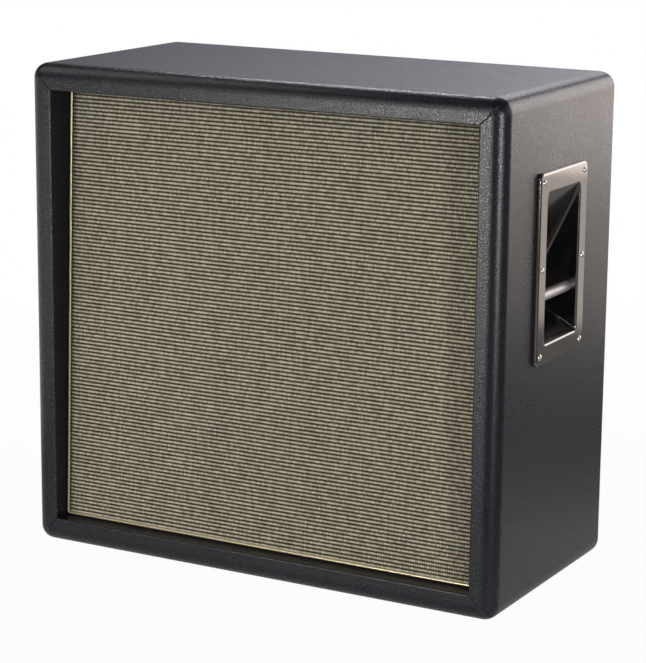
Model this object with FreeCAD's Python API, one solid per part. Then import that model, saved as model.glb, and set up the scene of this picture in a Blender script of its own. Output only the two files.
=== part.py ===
import FreeCAD, Part
import math
import os

# Guitar speaker cabinet, straight sided, with four twelve-inch drivers behind a leaning grille.
# Sizes are millimetres. +X is right seen from the front, +Y is to the back and +Z is up.
# The origin is on the floor, under the middle of the cabinet.

# Tools for cutting and for picking edges
cut_overrun = 5.0
pick_tolerance = 0.001

# Cabinet body, measured over its covering. Its width and height follow from the drivers.
body_depth = 389.0
edge_radius = 22.0
cover_thickness = 1.0
panel_thickness = 22.0
finger_count = 13

# Front opening, its lip and the leaning grille in it
lip_width = 38.0
lip_edge_radius = 2.0
recess_top = 52.0
recess_bottom = 28.0
cloth_thickness = 1.0
cloth_fold = 24.0
grille_frame_thickness = 15.0
grille_rail_width = 42.0
grille_bar_width = 30.0
piping_radius = 2.1
piping_flat = 0.5
piping_gap = 1.0
piping_corner_radius = 3.0
piping_tape_thickness = 1.0
piping_tape_width = 10.0

# Baffle board, back panel and the timber between them
baffle_thickness = 18.0
baffle_gap = 1.0
back_thickness = 15.0
back_inset = 6.0
back_gap = 1.5
batten_size = 22.0
brace_size = 45.0

# Screws: shank radii and lengths, with heads and cross slots as shares of the shank
screw_clearance = 0.1
head_radius_share = 2.3
head_height_share = 1.3
slot_length_share = 2.4
slot_width_share = 0.5
slot_depth_share = 0.5
baffle_screw_radius = 2.2
baffle_screw_bite = 22.0
baffle_screw_count_x = 5
baffle_screw_count_z = 4
grille_screw_radius = 2.0
grille_screw_bite = 11.0
back_screw_radius = 2.3
back_screw_bite = 16.0
back_screw_count_x = 5
back_screw_count_z = 3
cup_radius = 8.0
cup_top_radius = 6.4
cup_height = 2.4

# Side handles: flange plate, cup with sloping walls, and steel bar
handle_from_front = 189.0
handle_below_top = 248.5
handle_plate_width = 163.0
handle_plate_height = 270.0
handle_plate_thickness = 6.0
handle_plate_corner_radius = 11.0
handle_plate_edge_radius = 4.0
plate_side_border = 26.5
plate_end_border = 27.0
mouth_edge_radius = 3.0
pan_depth = 62.0
pan_back_top = -37.0
pan_back_bottom = -68.0
pan_back_radius = 12.0
pan_side_radius = 5.0
pan_wall = 3.0
pan_clearance = 3.0
bar_radius = 7.5
bar_below_side = 12.0
bar_height = -44.5
bar_spigot_radius = 5.0
bar_head_radius = 7.0
bar_head_height = 2.0
handle_screw_radius = 2.0
handle_screw_bite = 16.0
handle_screw_side_inset = 12.5
handle_screw_end_inset = 13.0
handle_screw_row_count = 3

# Input dish on the back, with its jack socket
jack_above_base = 200.0
dish_flange_size = 92.0
dish_flange_thickness = 2.5
dish_flange_radius = 10.0
dish_border = 14.0
dish_taper = 5.0
dish_depth = 32.0
dish_wall = 2.5
dish_corner_radius = 8.0
dish_clearance = 1.5
dish_screw_radius = 1.8
dish_screw_bite = 13.5
dish_screw_inset = 7.0
jack_bore_radius = 3.2
jack_bore_length = 34.0
jack_bush_radius = 4.75
jack_bush_length = 10.0
jack_body_size = 19.0
jack_body_length = 30.0
jack_clearance = 0.1
jack_nut_flat = 12.7
jack_nut_height = 2.5
jack_washer_radius = 8.0
jack_washer_height = 0.8
jack_tag_offset = 5.0
jack_tag_radius = 2.6
jack_tag_length = 7.0

# Rubber feet
foot_height = 12.0
foot_top_radius = 20.0
foot_floor_radius = 17.0
foot_inset = 65.0
foot_recess_radius = 7.0
foot_recess_depth = 6.0
foot_screw_radius = 2.4
foot_screw_bite = 15.0

# Drivers: frame, gasket, edge, cone, coil and magnet, measured back from the baffle
flange_radius = 155.0
driver_gap_x = 18.0
driver_gap_z = 10.0
driver_margin_x = 40.5
driver_margin_z = 24.5
cutout_margin = 13.5
gasket_thickness = 3.0
gasket_inset = 2.0
flange_width = 15.5
basket_sheet = 1.6
rim_depth = 10.0
rim_taper = 2.0
ledge_depth = 64.0
ledge_radius = 70.0
ledge_width = 10.0
seat_drop = 18.0
seat_taper = 2.0
seat_bore_margin = 6.2
window_count = 8
window_ledge_margin = 8.0
window_rim_margin = 9.5
window_angle = 31.0
window_corner_radius = 5.0
bolt_circle_inset = 6.5
bolt_hole_radius = 2.8
flange_hole_count = 8
flange_hole_turn = 22.5
bolt_step_count = 2
bolt_radius = 2.5
bolt_tip_inset = 2.0
tee_flange_radius = 9.0
tee_flange_thickness = 1.5
tee_barrel_radius = 3.5
tee_barrel_length = 11.0
tee_clearance = 0.1
edge_thickness = 0.8
edge_wave_count = 4
edge_wave_height = 1.4
edge_lip_gap = 0.5
edge_width = 15.0
wave_crest_shares = (0.3, 0.7)
cone_front = 7.0
cone_neck_gap = 3.4
cone_thickness = 1.2
cone_sag = 5.0
moving_gap = 0.3
glue_gap = 0.05
cap_radius = 37.0
cap_rise = 11.0
cap_thickness = 0.8
former_radius = 22.0
former_wall = 0.6
former_lead = 3.0
winding_wall = 0.6
winding_length = 12.0
magnet_gap = 0.6
spider_thickness = 0.6
spider_wave_count = 5
spider_wave_height = 1.8
top_plate_radius = 56.0
top_plate_thickness = 8.0
magnet_radius = 70.0
magnet_bore_margin = 8.2
magnet_thickness = 20.0
yoke_radius = 62.0
yoke_thickness = 8.0

# Terminal blocks on the driver rims, the leads between them and their clips
terminal_length = 32.0
terminal_width = 9.0
terminal_height = 12.0
terminal_boot_radius = 3.2
terminal_boot_length = 9.0
terminal_boot_spacing = 16.0
lead_radius = 2.25
lead_bend_share = 0.45
clip_length = 10.0
clip_wall = 2.5
clip_clearance = 0.15
# Middle points of the leads, beside the brace and from the drivers to the jack:
# distance from the middle plane, depth behind the baffle and height over the cabinet's middle.
riser_points = [(22.0, 122.0, -117.0), (26.5, 136.0, -72.0), (28.0, 138.0, -26.0),
                (28.0, 138.0, 26.0), (26.5, 136.0, 72.0), (22.0, 122.0, 117.0)]
feeder_points = [(15.0, 132.0, -178.0), (10.5, 174.0, -171.0)]
lead_exit = 30.0

# Places worked out from the sizes above
wall_thickness = cover_thickness + panel_thickness
body_width = driver_gap_x + 2 * (2 * flange_radius + driver_margin_x + wall_thickness)
body_height = driver_gap_z + 2 * (2 * flange_radius + driver_margin_z + wall_thickness)
half_width = body_width / 2
half_height = body_height / 2
front_y = -body_depth / 2
back_y = body_depth / 2
base_z = foot_height
top_z = base_z + body_height
middle_z = base_z + half_height
inner_half_width = half_width - wall_thickness
inner_half_height = half_height - wall_thickness
opening_half_width = half_width - lip_width
opening_half_height = half_height - lip_width
lean = math.atan2(recess_top - recess_bottom, 2 * opening_half_height)
baffle_front = 2 * cloth_thickness + grille_frame_thickness
baffle_rear = baffle_front + baffle_thickness
back_outer_y = back_y - back_inset
back_panel_y = back_outer_y - cover_thickness
batten_y = back_panel_y - back_thickness
handle_z = top_z - handle_below_top
mouth_width = handle_plate_width - 2 * plate_side_border
mouth_height = handle_plate_height - 2 * plate_end_border
dish_mouth_size = dish_flange_size - 2 * dish_border
dish_floor_size = dish_mouth_size - 2 * dish_taper
baffle_screw_length = baffle_thickness + baffle_screw_bite
grille_screw_length = baffle_thickness + grille_screw_bite
back_screw_length = cover_thickness + back_thickness + back_screw_bite
handle_screw_length = handle_plate_thickness + handle_screw_bite
dish_screw_length = dish_flange_thickness + dish_screw_bite
foot_screw_length = foot_height - foot_recess_depth + cover_thickness + foot_screw_bite


def vec(x, y, z):
    return FreeCAD.Vector(x, y, z)


def box_between(x_ends, y_ends, z_ends):
    low = vec(min(x_ends), min(y_ends), min(z_ends))
    high = vec(max(x_ends), max(y_ends), max(z_ends))
    size = high.sub(low)
    return Part.makeBox(size.x, size.y, size.z, low)


def rod(radius, start, end):
    along = end.sub(start)
    return Part.makeCylinder(radius, along.Length, start, along)


def lathe(edges):
    """Turn a closed profile, drawn with X as radius and Y as depth, about the Y axis."""
    face = Part.Face(Part.Wire(edges))
    return face.revolve(vec(0, 0, 0), vec(0, 1, 0), 360)


def lines(points):
    """Edges through radius and depth pairs, left open."""
    return [Part.LineSegment(vec(*a, 0), vec(*b, 0)).toShape() for a, b in zip(points, points[1:])]


def turned(points):
    """A solid turned from the corners of a straight-sided profile."""
    return lathe(lines(points + points[:1]))


def bow(start, middle, end):
    return Part.Arc(vec(*start, 0), vec(*middle, 0), vec(*end, 0)).toShape()


def dome(radius, seat, top):
    """The edge of a ball's cap, from its rim at a depth to its top on the axis."""
    rise = top - seat
    ball = (radius ** 2 + rise ** 2) / (2 * rise)
    half_turn = math.asin(radius / ball) / 2
    knee = (ball * math.sin(half_turn), top - ball + ball * math.cos(half_turn))
    return bow((radius, seat), knee, (0, top))


def rounded(shape, radius, chosen):
    return shape.makeFillet(radius, [edge for edge in shape.Edges if chosen(edge)])


def ends_at(edge, axis, value):
    """Whether every end of an edge has this coordinate."""
    return all(abs(getattr(vertex.Point, axis) - value) < pick_tolerance for vertex in edge.Vertexes)


def rounded_loop(half_x, half_z, radius, y):
    """A level rounded rectangle about the Y axis, as one closed wire."""
    corner = radius * math.sqrt(2) / 2
    edges = []
    for sx, sz in ((1, 1), (-1, 1), (-1, -1), (1, -1)):
        cx = sx * (half_x - radius)
        cz = sz * (half_z - radius)
        across = vec(sx * half_x, y, cz)
        upright = vec(cx, y, sz * half_z)
        knee = vec(cx + sx * corner, y, cz + sz * corner)
        start, end = (across, upright) if sx == sz else (upright, across)
        if edges:
            edges.append(Part.makeLine(edges[-1].Vertexes[-1].Point, start))
        edges.append(Part.Arc(start, knee, end).toShape())
    edges.append(Part.makeLine(edges[-1].Vertexes[-1].Point, edges[0].Vertexes[0].Point))
    return Part.Wire(edges)


# Placing pieces: on the leaning grille and baffle, at a driver, and along a screw's axis
grille_place = FreeCAD.Placement(
    vec(0, front_y + (recess_top + recess_bottom) / 2, middle_z),
    FreeCAD.Rotation(vec(1, 0, 0), -math.degrees(lean)),
)
driver_places = {
    f"{level}_{side}": (sx * (flange_radius + driver_gap_x / 2), sz * (flange_radius + driver_gap_z / 2))
    for level, sz in (("upper", 1), ("lower", -1))
    for side, sx in (("left", -1), ("right", 1))
}


def leaned(shape, x=0, y=0, z=0):
    """A copy of a shape drawn square to the baffle, put in the leaning grille's place."""
    copy = shape.copy()
    copy.translate(vec(x, y, z))
    copy.Placement = grille_place.multiply(copy.Placement)
    return copy


def at_driver(shape, name):
    x, z = driver_places[name]
    return leaned(shape, x, baffle_rear, z)


def at_drivers(shape):
    return Part.makeCompound([at_driver(shape, name) for name in driver_places])


def pointed(shape, place, outward):
    """A copy of a shape that stands on +Z, stood on a place and pointed outward."""
    copy = shape.copy()
    turn = FreeCAD.Placement(place, FreeCAD.Rotation(vec(0, 0, 1), outward))
    copy.Placement = turn.multiply(copy.Placement)
    return copy


def behind(depth):
    """The half space behind a plane of the leaning grille, wide enough for any cut."""
    block = box_between((-body_width, body_width), (depth, depth + body_depth), (-body_height, body_height))
    return leaned(block)


def lean_fit(level_half_height, depth):
    """Half the height of a leaning board that just clears a level top and bottom at this depth."""
    return (level_half_height - depth * math.sin(lean)) / math.cos(lean)


def spread(reach, count):
    """Evenly spaced places from minus to plus a reach, half a step in from both ends."""
    return [reach * ((2 * index + 1) / count - 1) for index in range(count)]


# Fasteners, drawn with the head on +Z and its seat at the origin
def upright(shape):
    """Turn a lathe-made shape from the Y axis up to the Z axis."""
    shape.rotate(vec(0, 0, 0), vec(1, 0, 0), 90)
    return shape


def cross_slots(radius, top):
    """The two crossed slots in a screw's head, for its shank's radius and the head's top."""
    long_half = radius * slot_length_share / 2
    short_half = radius * slot_width_share / 2
    depth_ends = (top * (1 - slot_depth_share), top)
    return [
        box_between((-long_half, long_half), (-short_half, short_half), depth_ends),
        box_between((-short_half, short_half), (-long_half, long_half), depth_ends),
    ]


def dome_screw(radius, length):
    head_radius = radius * head_radius_share
    top = radius * head_height_share
    shank = lines([(0, top), (0, -length), (radius, -length), (radius, 0), (head_radius, 0)])
    screw = upright(lathe([dome(head_radius, 0, top)] + shank))
    return screw.cut(cross_slots(radius, top))


def screw_hole(radius, length):
    """The hole for a screw's shank, open past the seat and as deep as the screw is long."""
    return rod(radius + screw_clearance, vec(0, 0, cut_overrun), vec(0, 0, -length - screw_clearance))


def pointed_all(shape, places, outward):
    return [pointed(shape, place, outward) for place in places]


baffle_screw = dome_screw(baffle_screw_radius, baffle_screw_length)
baffle_hole = screw_hole(baffle_screw_radius, baffle_screw_length)
grille_screw = dome_screw(grille_screw_radius, grille_screw_length)
grille_hole = screw_hole(grille_screw_radius, grille_screw_length)
handle_screw = dome_screw(handle_screw_radius, handle_screw_length)
handle_hole = screw_hole(handle_screw_radius, handle_screw_length)
dish_screw = dome_screw(dish_screw_radius, dish_screw_length)
dish_screw_hole = screw_hole(dish_screw_radius, dish_screw_length)
foot_screw = dome_screw(foot_screw_radius, foot_screw_length)
foot_hole = screw_hole(foot_screw_radius, foot_screw_length)
back_hole = screw_hole(back_screw_radius, back_screw_length)


# Carcass of four finger-jointed plywood panels
def rounded_block(inset):
    block = box_between(
        (inset - half_width, half_width - inset),
        (front_y + inset, back_y - inset),
        (base_z + inset, top_z - inset),
    )
    return block.makeFillet(edge_radius - inset, block.Edges)


def corner_fingers(first):
    """Every second finger of the four long corners, from the given one on."""
    pitch = (body_depth - 2 * cover_thickness) / finger_count
    fingers = []
    for index in range(first, finger_count, 2):
        start = front_y + cover_thickness + index * pitch
        for side in (-1, 1):
            for level in (-1, 1):
                fingers.append(box_between(
                    (side * inner_half_width, side * half_width),
                    (start, start + pitch),
                    (middle_z + level * inner_half_height, middle_z + level * half_height),
                ))
    return fingers


def level_panel(level):
    slab = box_between(
        (-half_width, half_width),
        (front_y, back_y),
        (middle_z + level * inner_half_height, middle_z + level * half_height),
    )
    return carcass_block.common(slab).cut(corner_fingers(1))


def side_panel(side):
    slab = box_between((side * inner_half_width, side * half_width), (front_y, back_y), (base_z, top_z))
    panel = carcass_block.common(slab).cut(corner_fingers(0))
    return panel.cut([handle_cutout(side)] + handle_screws(side, handle_hole))


def front_rails():
    """Four strips that thicken the lip, with rear faces on the lean for the baffle to seat on."""
    wall_x = opening_half_width + cover_thickness
    wall_z = opening_half_height + cover_thickness
    depth_ends = (front_y, 0)
    strips = []
    for sign in (-1, 1):
        strips.append(box_between(
            (-inner_half_width, inner_half_width),
            depth_ends,
            (middle_z + sign * wall_z, middle_z + sign * inner_half_height),
        ))
        strips.append(box_between(
            (sign * wall_x, sign * inner_half_width),
            depth_ends,
            (middle_z - wall_z, middle_z + wall_z),
        ))
    cuts = [behind(baffle_front)] + baffle_screws(baffle_hole)
    return Part.makeCompound([carcass_block.common(strip).cut(cuts) for strip in strips])


# Covering: one skin over the outside, the lip, the recess walls and the rear edge
def covering():
    skin = rounded_block(0).cut(carcass_block)
    x_ends = (-opening_half_width, opening_half_width)
    z_ends = (middle_z - opening_half_height, middle_z + opening_half_height)
    rear_x = inner_half_width - cover_thickness
    rear_z = inner_half_height - cover_thickness
    skin = skin.cut([
        box_between(x_ends, (front_y - cut_overrun, 0), z_ends),
        box_between((-rear_x, rear_x), (0, back_y + cut_overrun), (middle_z - rear_z, middle_z + rear_z)),
    ])
    wall_x = opening_half_width + cover_thickness
    wall_z = opening_half_height + cover_thickness
    outer = box_between((-wall_x, wall_x), (front_y, 0), (middle_z - wall_z, middle_z + wall_z))
    inner = box_between(x_ends, (front_y - cut_overrun, cut_overrun), z_ends)
    recess = outer.cut([inner, behind(baffle_front)])
    rear_outer = box_between(
        (-inner_half_width, inner_half_width),
        (batten_y, back_y),
        (middle_z - inner_half_height, middle_z + inner_half_height),
    )
    rear_inner = box_between(
        (-rear_x, rear_x),
        (batten_y - cut_overrun, back_y + cut_overrun),
        (middle_z - rear_z, middle_z + rear_z),
    )
    skin = skin.fuse([recess, rear_outer.cut(rear_inner)]).removeSplitter()

    def on_lip(edge):
        at_side = ends_at(edge, "x", opening_half_width) or ends_at(edge, "x", -opening_half_width)
        at_level = ends_at(edge, "z", z_ends[0]) or ends_at(edge, "z", z_ends[1])
        return ends_at(edge, "y", front_y) and (at_side or at_level)

    skin = rounded(skin, lip_edge_radius, on_lip)
    holes = feet_at(foot_hole)
    for side in (-1, 1):
        holes += [handle_cutout(side)] + handle_screws(side, handle_hole)
    return skin.cut(holes)


# Grille: a timber frame with cross bars, cloth stretched over it and piping round its edge
cloth_half_width = opening_half_width - piping_gap - piping_radius - piping_tape_thickness / 2
cloth_half_height = (
    lean_fit(opening_half_height, baffle_front) - piping_gap - piping_radius - piping_tape_thickness / 2
)
frame_half_width = cloth_half_width - cloth_thickness
frame_half_height = cloth_half_height - cloth_thickness


def panel_box(half_x, half_z, near, far):
    return box_between((-half_x, half_x), (near, far), (-half_z, half_z))


def grille_screws(shape):
    """Screws through the baffle from behind, into the middle of the frame's rails."""
    x = frame_half_width - grille_rail_width / 2
    z = frame_half_height - grille_rail_width / 2
    places = [(-x, -z), (0, -z), (x, -z), (-x, 0), (x, 0), (-x, z), (0, z), (x, z)]
    return [leaned(pointed(shape, vec(px, baffle_rear, pz), vec(0, 1, 0))) for px, pz in places]


def grille_frame():
    near = cloth_thickness
    far = near + grille_frame_thickness
    frame = panel_box(frame_half_width, frame_half_height, near, far)
    window_x = frame_half_width - grille_rail_width
    window_z = frame_half_height - grille_rail_width
    half_bar = grille_bar_width / 2
    windows = [
        box_between((sx * half_bar, sx * window_x), (0, baffle_rear), (sz * half_bar, sz * window_z))
        for sx in (-1, 1)
        for sz in (-1, 1)
    ]
    return leaned(frame.cut(windows)).cut(grille_screws(grille_hole))


def grille_cloth():
    far = cloth_thickness + grille_frame_thickness
    cloth = panel_box(cloth_half_width, cloth_half_height, 0, far + cloth_thickness)
    filling = panel_box(frame_half_width, frame_half_height, cloth_thickness, far)
    rear = panel_box(frame_half_width - cloth_fold, frame_half_height - cloth_fold, far, far + baffle_rear)
    return leaned(cloth.cut([filling, rear])).cut(grille_screws(grille_hole))


def grille_piping():
    """A round bead against the cloth's edge, on a tape that is tacked along the frame's side."""
    half_x = cloth_half_width + piping_tape_thickness / 2
    half_z = cloth_half_height + piping_tape_thickness / 2
    depth = piping_flat - piping_radius
    path = rounded_loop(half_x, half_z, piping_corner_radius, depth)
    section = Part.Wire(Part.makeCircle(piping_radius, vec(half_x, depth, 0), vec(0, 0, 1)))
    bead = path.makePipeShell([section], True, True)
    bead = bead.cut(panel_box(body_width, body_height, 0, baffle_rear))
    outer_x = cloth_half_width + piping_tape_thickness
    outer_z = cloth_half_height + piping_tape_thickness
    tape = panel_box(outer_x, outer_z, 0, piping_tape_width)
    tape = tape.cut(panel_box(cloth_half_width, cloth_half_height, -cut_overrun, baffle_rear))
    return leaned(bead.fuse(tape))


# Baffle board with four driver cut-outs, seated on the rails' leaning rear faces
baffle_half_width = inner_half_width - baffle_gap
baffle_half_height = lean_fit(inner_half_height, baffle_rear) - baffle_gap


def baffle_screws(shape):
    """Screws through the baffle's rim, along the middle of its seat on the rails."""
    seat_x = (opening_half_width + cover_thickness + baffle_half_width) / 2
    seat_z = (opening_half_height + cover_thickness + baffle_half_height) / 2
    places = [(x, sign * seat_z) for x in spread(seat_x, baffle_screw_count_x) for sign in (-1, 1)]
    places += [(sign * seat_x, z) for z in spread(seat_z, baffle_screw_count_z) for sign in (-1, 1)]
    return [leaned(pointed(shape, vec(x, baffle_rear, z), vec(0, 1, 0))) for x, z in places]


def driver_ring(shape, every=1):
    """Copies of a driver's fixing, drawn on the Y axis, round its bolt circle."""
    copies = []
    for index in range(0, flange_hole_count, every):
        angle = math.radians(flange_hole_turn + index * 360 / flange_hole_count)
        copy = shape.copy()
        copy.translate(vec(bolt_circle_radius * math.cos(angle), 0, bolt_circle_radius * math.sin(angle)))
        copies.append(copy)
    return copies


def baffle_board():
    board = leaned(panel_box(baffle_half_width, baffle_half_height, baffle_front, baffle_rear))
    barrel = tee_barrel_radius + tee_clearance
    sink = tee_flange_thickness - baffle_thickness
    cutout = rod(cutout_radius, vec(0, -baffle_thickness - cut_overrun, 0), vec(0, cut_overrun, 0))
    bolt_hole = rod(barrel, vec(0, -baffle_thickness - cut_overrun, 0), vec(0, cut_overrun, 0))
    flange_sink = rod(
        tee_flange_radius + tee_clearance,
        vec(0, -baffle_thickness - cut_overrun, 0),
        vec(0, sink, 0),
    )
    tools = baffle_screws(baffle_hole) + grille_screws(grille_hole)
    for name in driver_places:
        tools.append(at_driver(cutout, name))
        for tool in driver_ring(bolt_hole, bolt_step_count) + driver_ring(flange_sink, bolt_step_count):
            tools.append(at_driver(tool, name))
    return board.cut(tools)


def centre_brace():
    half = brace_size / 2
    brace = box_between((-half, half), (front_y, batten_y), (middle_z - half, middle_z + half))
    return brace.common(behind(baffle_rear))


# Back panel on four battens, screwed through cup washers
back_half_width = inner_half_width - cover_thickness - back_gap
back_half_height = inner_half_height - cover_thickness - back_gap


def back_screws(shape):
    seat_x = inner_half_width - batten_size / 2
    seat_z = inner_half_height - batten_size / 2
    places = [(x, sign * seat_z) for x in spread(seat_x, back_screw_count_x) for sign in (-1, 1)]
    places += [(sign * seat_x, z) for z in spread(seat_z, back_screw_count_z) for sign in (-1, 1)]
    places.append((0, 0))
    return pointed_all(shape, [vec(x, back_outer_y, middle_z + z) for x, z in places], vec(0, 1, 0))


def dish_hole():
    half = dish_mouth_size / 2 + dish_wall + dish_clearance
    z = base_z + jack_above_base
    return box_between((-half, half), (0, back_y + cut_overrun), (z - half, z + half))


def back_panel():
    panel = box_between(
        (cover_thickness - back_half_width, back_half_width - cover_thickness),
        (batten_y, back_panel_y),
        (middle_z + cover_thickness - back_half_height, middle_z + back_half_height - cover_thickness),
    )
    return panel.cut([dish_hole()] + back_screws(back_hole) + dish_screws(dish_screw_hole))


def back_covering():
    skin = box_between(
        (-back_half_width, back_half_width),
        (batten_y, back_outer_y),
        (middle_z - back_half_height, middle_z + back_half_height),
    )
    board = box_between(
        (cover_thickness - back_half_width, back_half_width - cover_thickness),
        (batten_y - cut_overrun, back_panel_y),
        (middle_z + cover_thickness - back_half_height, middle_z + back_half_height - cover_thickness),
    )
    return skin.cut([board, dish_hole()] + back_screws(back_hole) + dish_screws(dish_screw_hole))


def back_battens():
    y_ends = (batten_y - batten_size, batten_y)
    side_z = inner_half_height - batten_size
    battens = []
    for sign in (-1, 1):
        battens.append(box_between(
            (-inner_half_width, inner_half_width),
            y_ends,
            (middle_z + sign * side_z, middle_z + sign * inner_half_height),
        ))
        battens.append(box_between(
            (sign * (inner_half_width - batten_size), sign * inner_half_width),
            y_ends,
            (middle_z - side_z, middle_z + side_z),
        ))
    return Part.makeCompound([batten.cut(back_screws(back_hole)) for batten in battens])


def cup_washer():
    """A pressed cup with a coned seat for the screw's head."""
    hole = back_screw_radius + screw_clearance
    seat = back_screw_radius * head_radius_share + screw_clearance
    return upright(turned([(hole, 0), (cup_radius, 0), (cup_top_radius, cup_height), (seat, cup_height)]))


def cup_screw():
    """A countersunk screw whose head fills the cup washer's seat."""
    screw = upright(turned([
        (0, cup_height),
        (0, -back_screw_length),
        (back_screw_radius, -back_screw_length),
        (back_screw_radius, 0),
        (back_screw_radius * head_radius_share, cup_height),
    ]))
    return screw.cut(cross_slots(back_screw_radius, cup_height))


# Side handles, drawn at the origin with X outward from the cabinet's side
def on_side(shape, side):
    """Move a right-hand piece from the handle's own place to the right or the left side."""
    copy = shape.copy()
    copy.translate(vec(half_width, front_y + handle_from_front, handle_z))
    return copy if side > 0 else copy.mirror(vec(0, 0, 0), vec(1, 0, 0))


def handle_fixings(shape):
    """Copies of a screw or its hole on the handle's plate, in the handle's own place."""
    places = []
    across = handle_plate_width / 2 - handle_screw_side_inset
    reach = handle_plate_height / 2 - handle_screw_end_inset
    for row in range(handle_screw_row_count):
        z = reach * (2 * row / (handle_screw_row_count - 1) - 1)
        places += [vec(handle_plate_thickness, sign * across, z) for sign in (-1, 1)]
    return pointed_all(shape, places, vec(1, 0, 0))


def handle_screws(side, shape):
    return [on_side(copy, side) for copy in handle_fixings(shape)]


def handle_cutout(side):
    half_y = mouth_width / 2 + pan_wall + pan_clearance
    half_z = mouth_height / 2 + pan_wall + pan_clearance
    depth = wall_thickness + cut_overrun
    return on_side(box_between((-depth, cut_overrun), (-half_y, half_y), (-half_z, half_z)), side)


def pan_block(wall):
    """The cup's hollow for no wall, or its outside: sloping roof, rising floor and rounded back."""
    front_x = handle_plate_thickness + cut_overrun
    run = handle_plate_thickness + pan_depth

    def at(x, mouth_z, back_z):
        return mouth_z + (handle_plate_thickness - x) / run * (back_z - mouth_z)

    corners = [
        vec(front_x, 0, at(front_x, mouth_height / 2, pan_back_top)),
        vec(-pan_depth, 0, pan_back_top),
        vec(-pan_depth, 0, pan_back_bottom),
        vec(front_x, 0, at(front_x, -mouth_height / 2, pan_back_bottom)),
    ]
    outline = Part.Face(Part.makePolygon(corners + corners[:1]))
    if wall:
        outline = outline.makeOffset2D(wall, 2)
    half = mouth_width / 2 + wall
    outline.translate(vec(0, -half, 0))
    block = outline.extrude(vec(0, 2 * half, 0)).Solids[0]
    back = -pan_depth - wall
    front = front_x + wall

    def on_back(edge):
        return ends_at(edge, "x", back) and runs_along_y(edge)

    block = rounded(block, pan_back_radius + wall, on_back)

    def on_side_edge(edge):
        at_wall = ends_at(edge, "y", half) or ends_at(edge, "y", -half)
        return at_wall and not ends_at(edge, "x", front)

    return rounded(block, pan_side_radius + wall, on_side_edge)


def runs_along_x(edge):
    return not ends_at(edge, "x", edge.Vertexes[0].X)


def runs_along_y(edge):
    return not ends_at(edge, "y", edge.Vertexes[0].Y)


def handle_dish():
    half_y = handle_plate_width / 2
    half_z = handle_plate_height / 2
    plate = box_between((0, handle_plate_thickness), (-half_y, half_y), (-half_z, half_z))
    plate = rounded(plate, handle_plate_corner_radius, runs_along_x)
    plate = rounded(plate, handle_plate_edge_radius, lambda edge: ends_at(edge, "x", handle_plate_thickness))
    trim = box_between((-body_width, handle_plate_thickness / 2), (-half_y, half_y), (-half_z, half_z))
    dish = plate.fuse(pan_block(pan_wall).common(trim)).cut(pan_block(0)).removeSplitter()

    def on_mouth(edge):
        inside = all(abs(v.Y) < half_y - handle_plate_edge_radius - cut_overrun for v in edge.Vertexes)
        return inside and ends_at(edge, "x", handle_plate_thickness)

    dish = rounded(dish, mouth_edge_radius, on_mouth)
    reach = mouth_width / 2 + pan_wall + cut_overrun
    bar_hole = rod(
        bar_spigot_radius + screw_clearance,
        vec(-bar_below_side, -reach, bar_height),
        vec(-bar_below_side, reach, bar_height),
    )
    return dish.cut([bar_hole] + handle_fixings(handle_hole))


def handle_bar():
    """A round bar between the cup's walls, with spigots riveted over on the outside."""
    inner = mouth_width / 2
    outer = inner + pan_wall
    tip = outer + bar_head_height
    outline = [
        (0, -tip), (bar_head_radius, -tip), (bar_head_radius, -outer), (bar_spigot_radius, -outer),
        (bar_spigot_radius, -inner), (bar_radius, -inner), (bar_radius, inner), (bar_spigot_radius, inner),
        (bar_spigot_radius, outer), (bar_head_radius, outer), (bar_head_radius, tip), (0, tip),
    ]
    bar = turned(outline)
    bar.translate(vec(-bar_below_side, 0, bar_height))
    return bar


# Input dish and jack, on the jack's axis with +Y out of the back
def at_jack(shape):
    copy = shape.copy()
    copy.translate(vec(0, back_outer_y, base_z + jack_above_base))
    return copy


def dish_screws(shape):
    half = dish_flange_size / 2 - dish_screw_inset
    return [
        at_jack(pointed(shape, vec(sx * half, dish_flange_thickness, sz * half), vec(0, 1, 0)))
        for sx in (-1, 1)
        for sz in (-1, 1)
    ]


def tapered_block(wall, front, floor):
    """The dish's hollow, or its outside with the wall added, between two depths."""
    run = dish_depth

    def half_at(y):
        share = (dish_flange_thickness - y) / run
        return (dish_mouth_size + share * (dish_floor_size - dish_mouth_size)) / 2 + wall

    loops = [rounded_loop(half_at(y), half_at(y), dish_corner_radius + wall, y) for y in (front, floor)]
    return Part.makeLoft(loops, True, True)


def jack_dish():
    half = dish_flange_size / 2
    flange = box_between((-half, half), (0, dish_flange_thickness), (-half, half))
    flange = rounded(flange, dish_flange_radius, runs_along_y)
    floor = dish_flange_thickness - dish_depth
    cup = tapered_block(dish_wall, dish_flange_thickness, floor - dish_wall)
    hollow = tapered_block(0, dish_flange_thickness + cut_overrun, floor)
    bush = rod(
        jack_bush_radius + jack_clearance,
        vec(0, floor + cut_overrun, 0),
        vec(0, floor - dish_wall - cut_overrun, 0),
    )
    dish = at_jack(flange.fuse(cup).removeSplitter().cut([hollow, bush]))
    return dish.cut(dish_screws(dish_screw_hole))


jack_seat = dish_flange_thickness - dish_depth - dish_wall
jack_mouth = jack_seat + jack_bush_length


def jack_socket():
    """A closed body with a threaded bush, a blind bore for the plug and two lead tags."""
    half = jack_body_size / 2
    back = jack_seat - jack_body_length
    body = box_between((-half, half), (back, jack_seat), (-half, half))
    bush = rod(jack_bush_radius, vec(0, jack_seat, 0), vec(0, jack_mouth, 0))
    tags = [
        rod(jack_tag_radius, vec(x, back, 0), vec(x, back - jack_tag_length, 0))
        for x in (-jack_tag_offset, jack_tag_offset)
    ]
    bore_end = jack_mouth - jack_bore_length
    bore = rod(jack_bore_radius, vec(0, jack_mouth + cut_overrun, 0), vec(0, bore_end, 0))
    return at_jack(body.fuse([bush] + tags).cut(bore))


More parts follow.
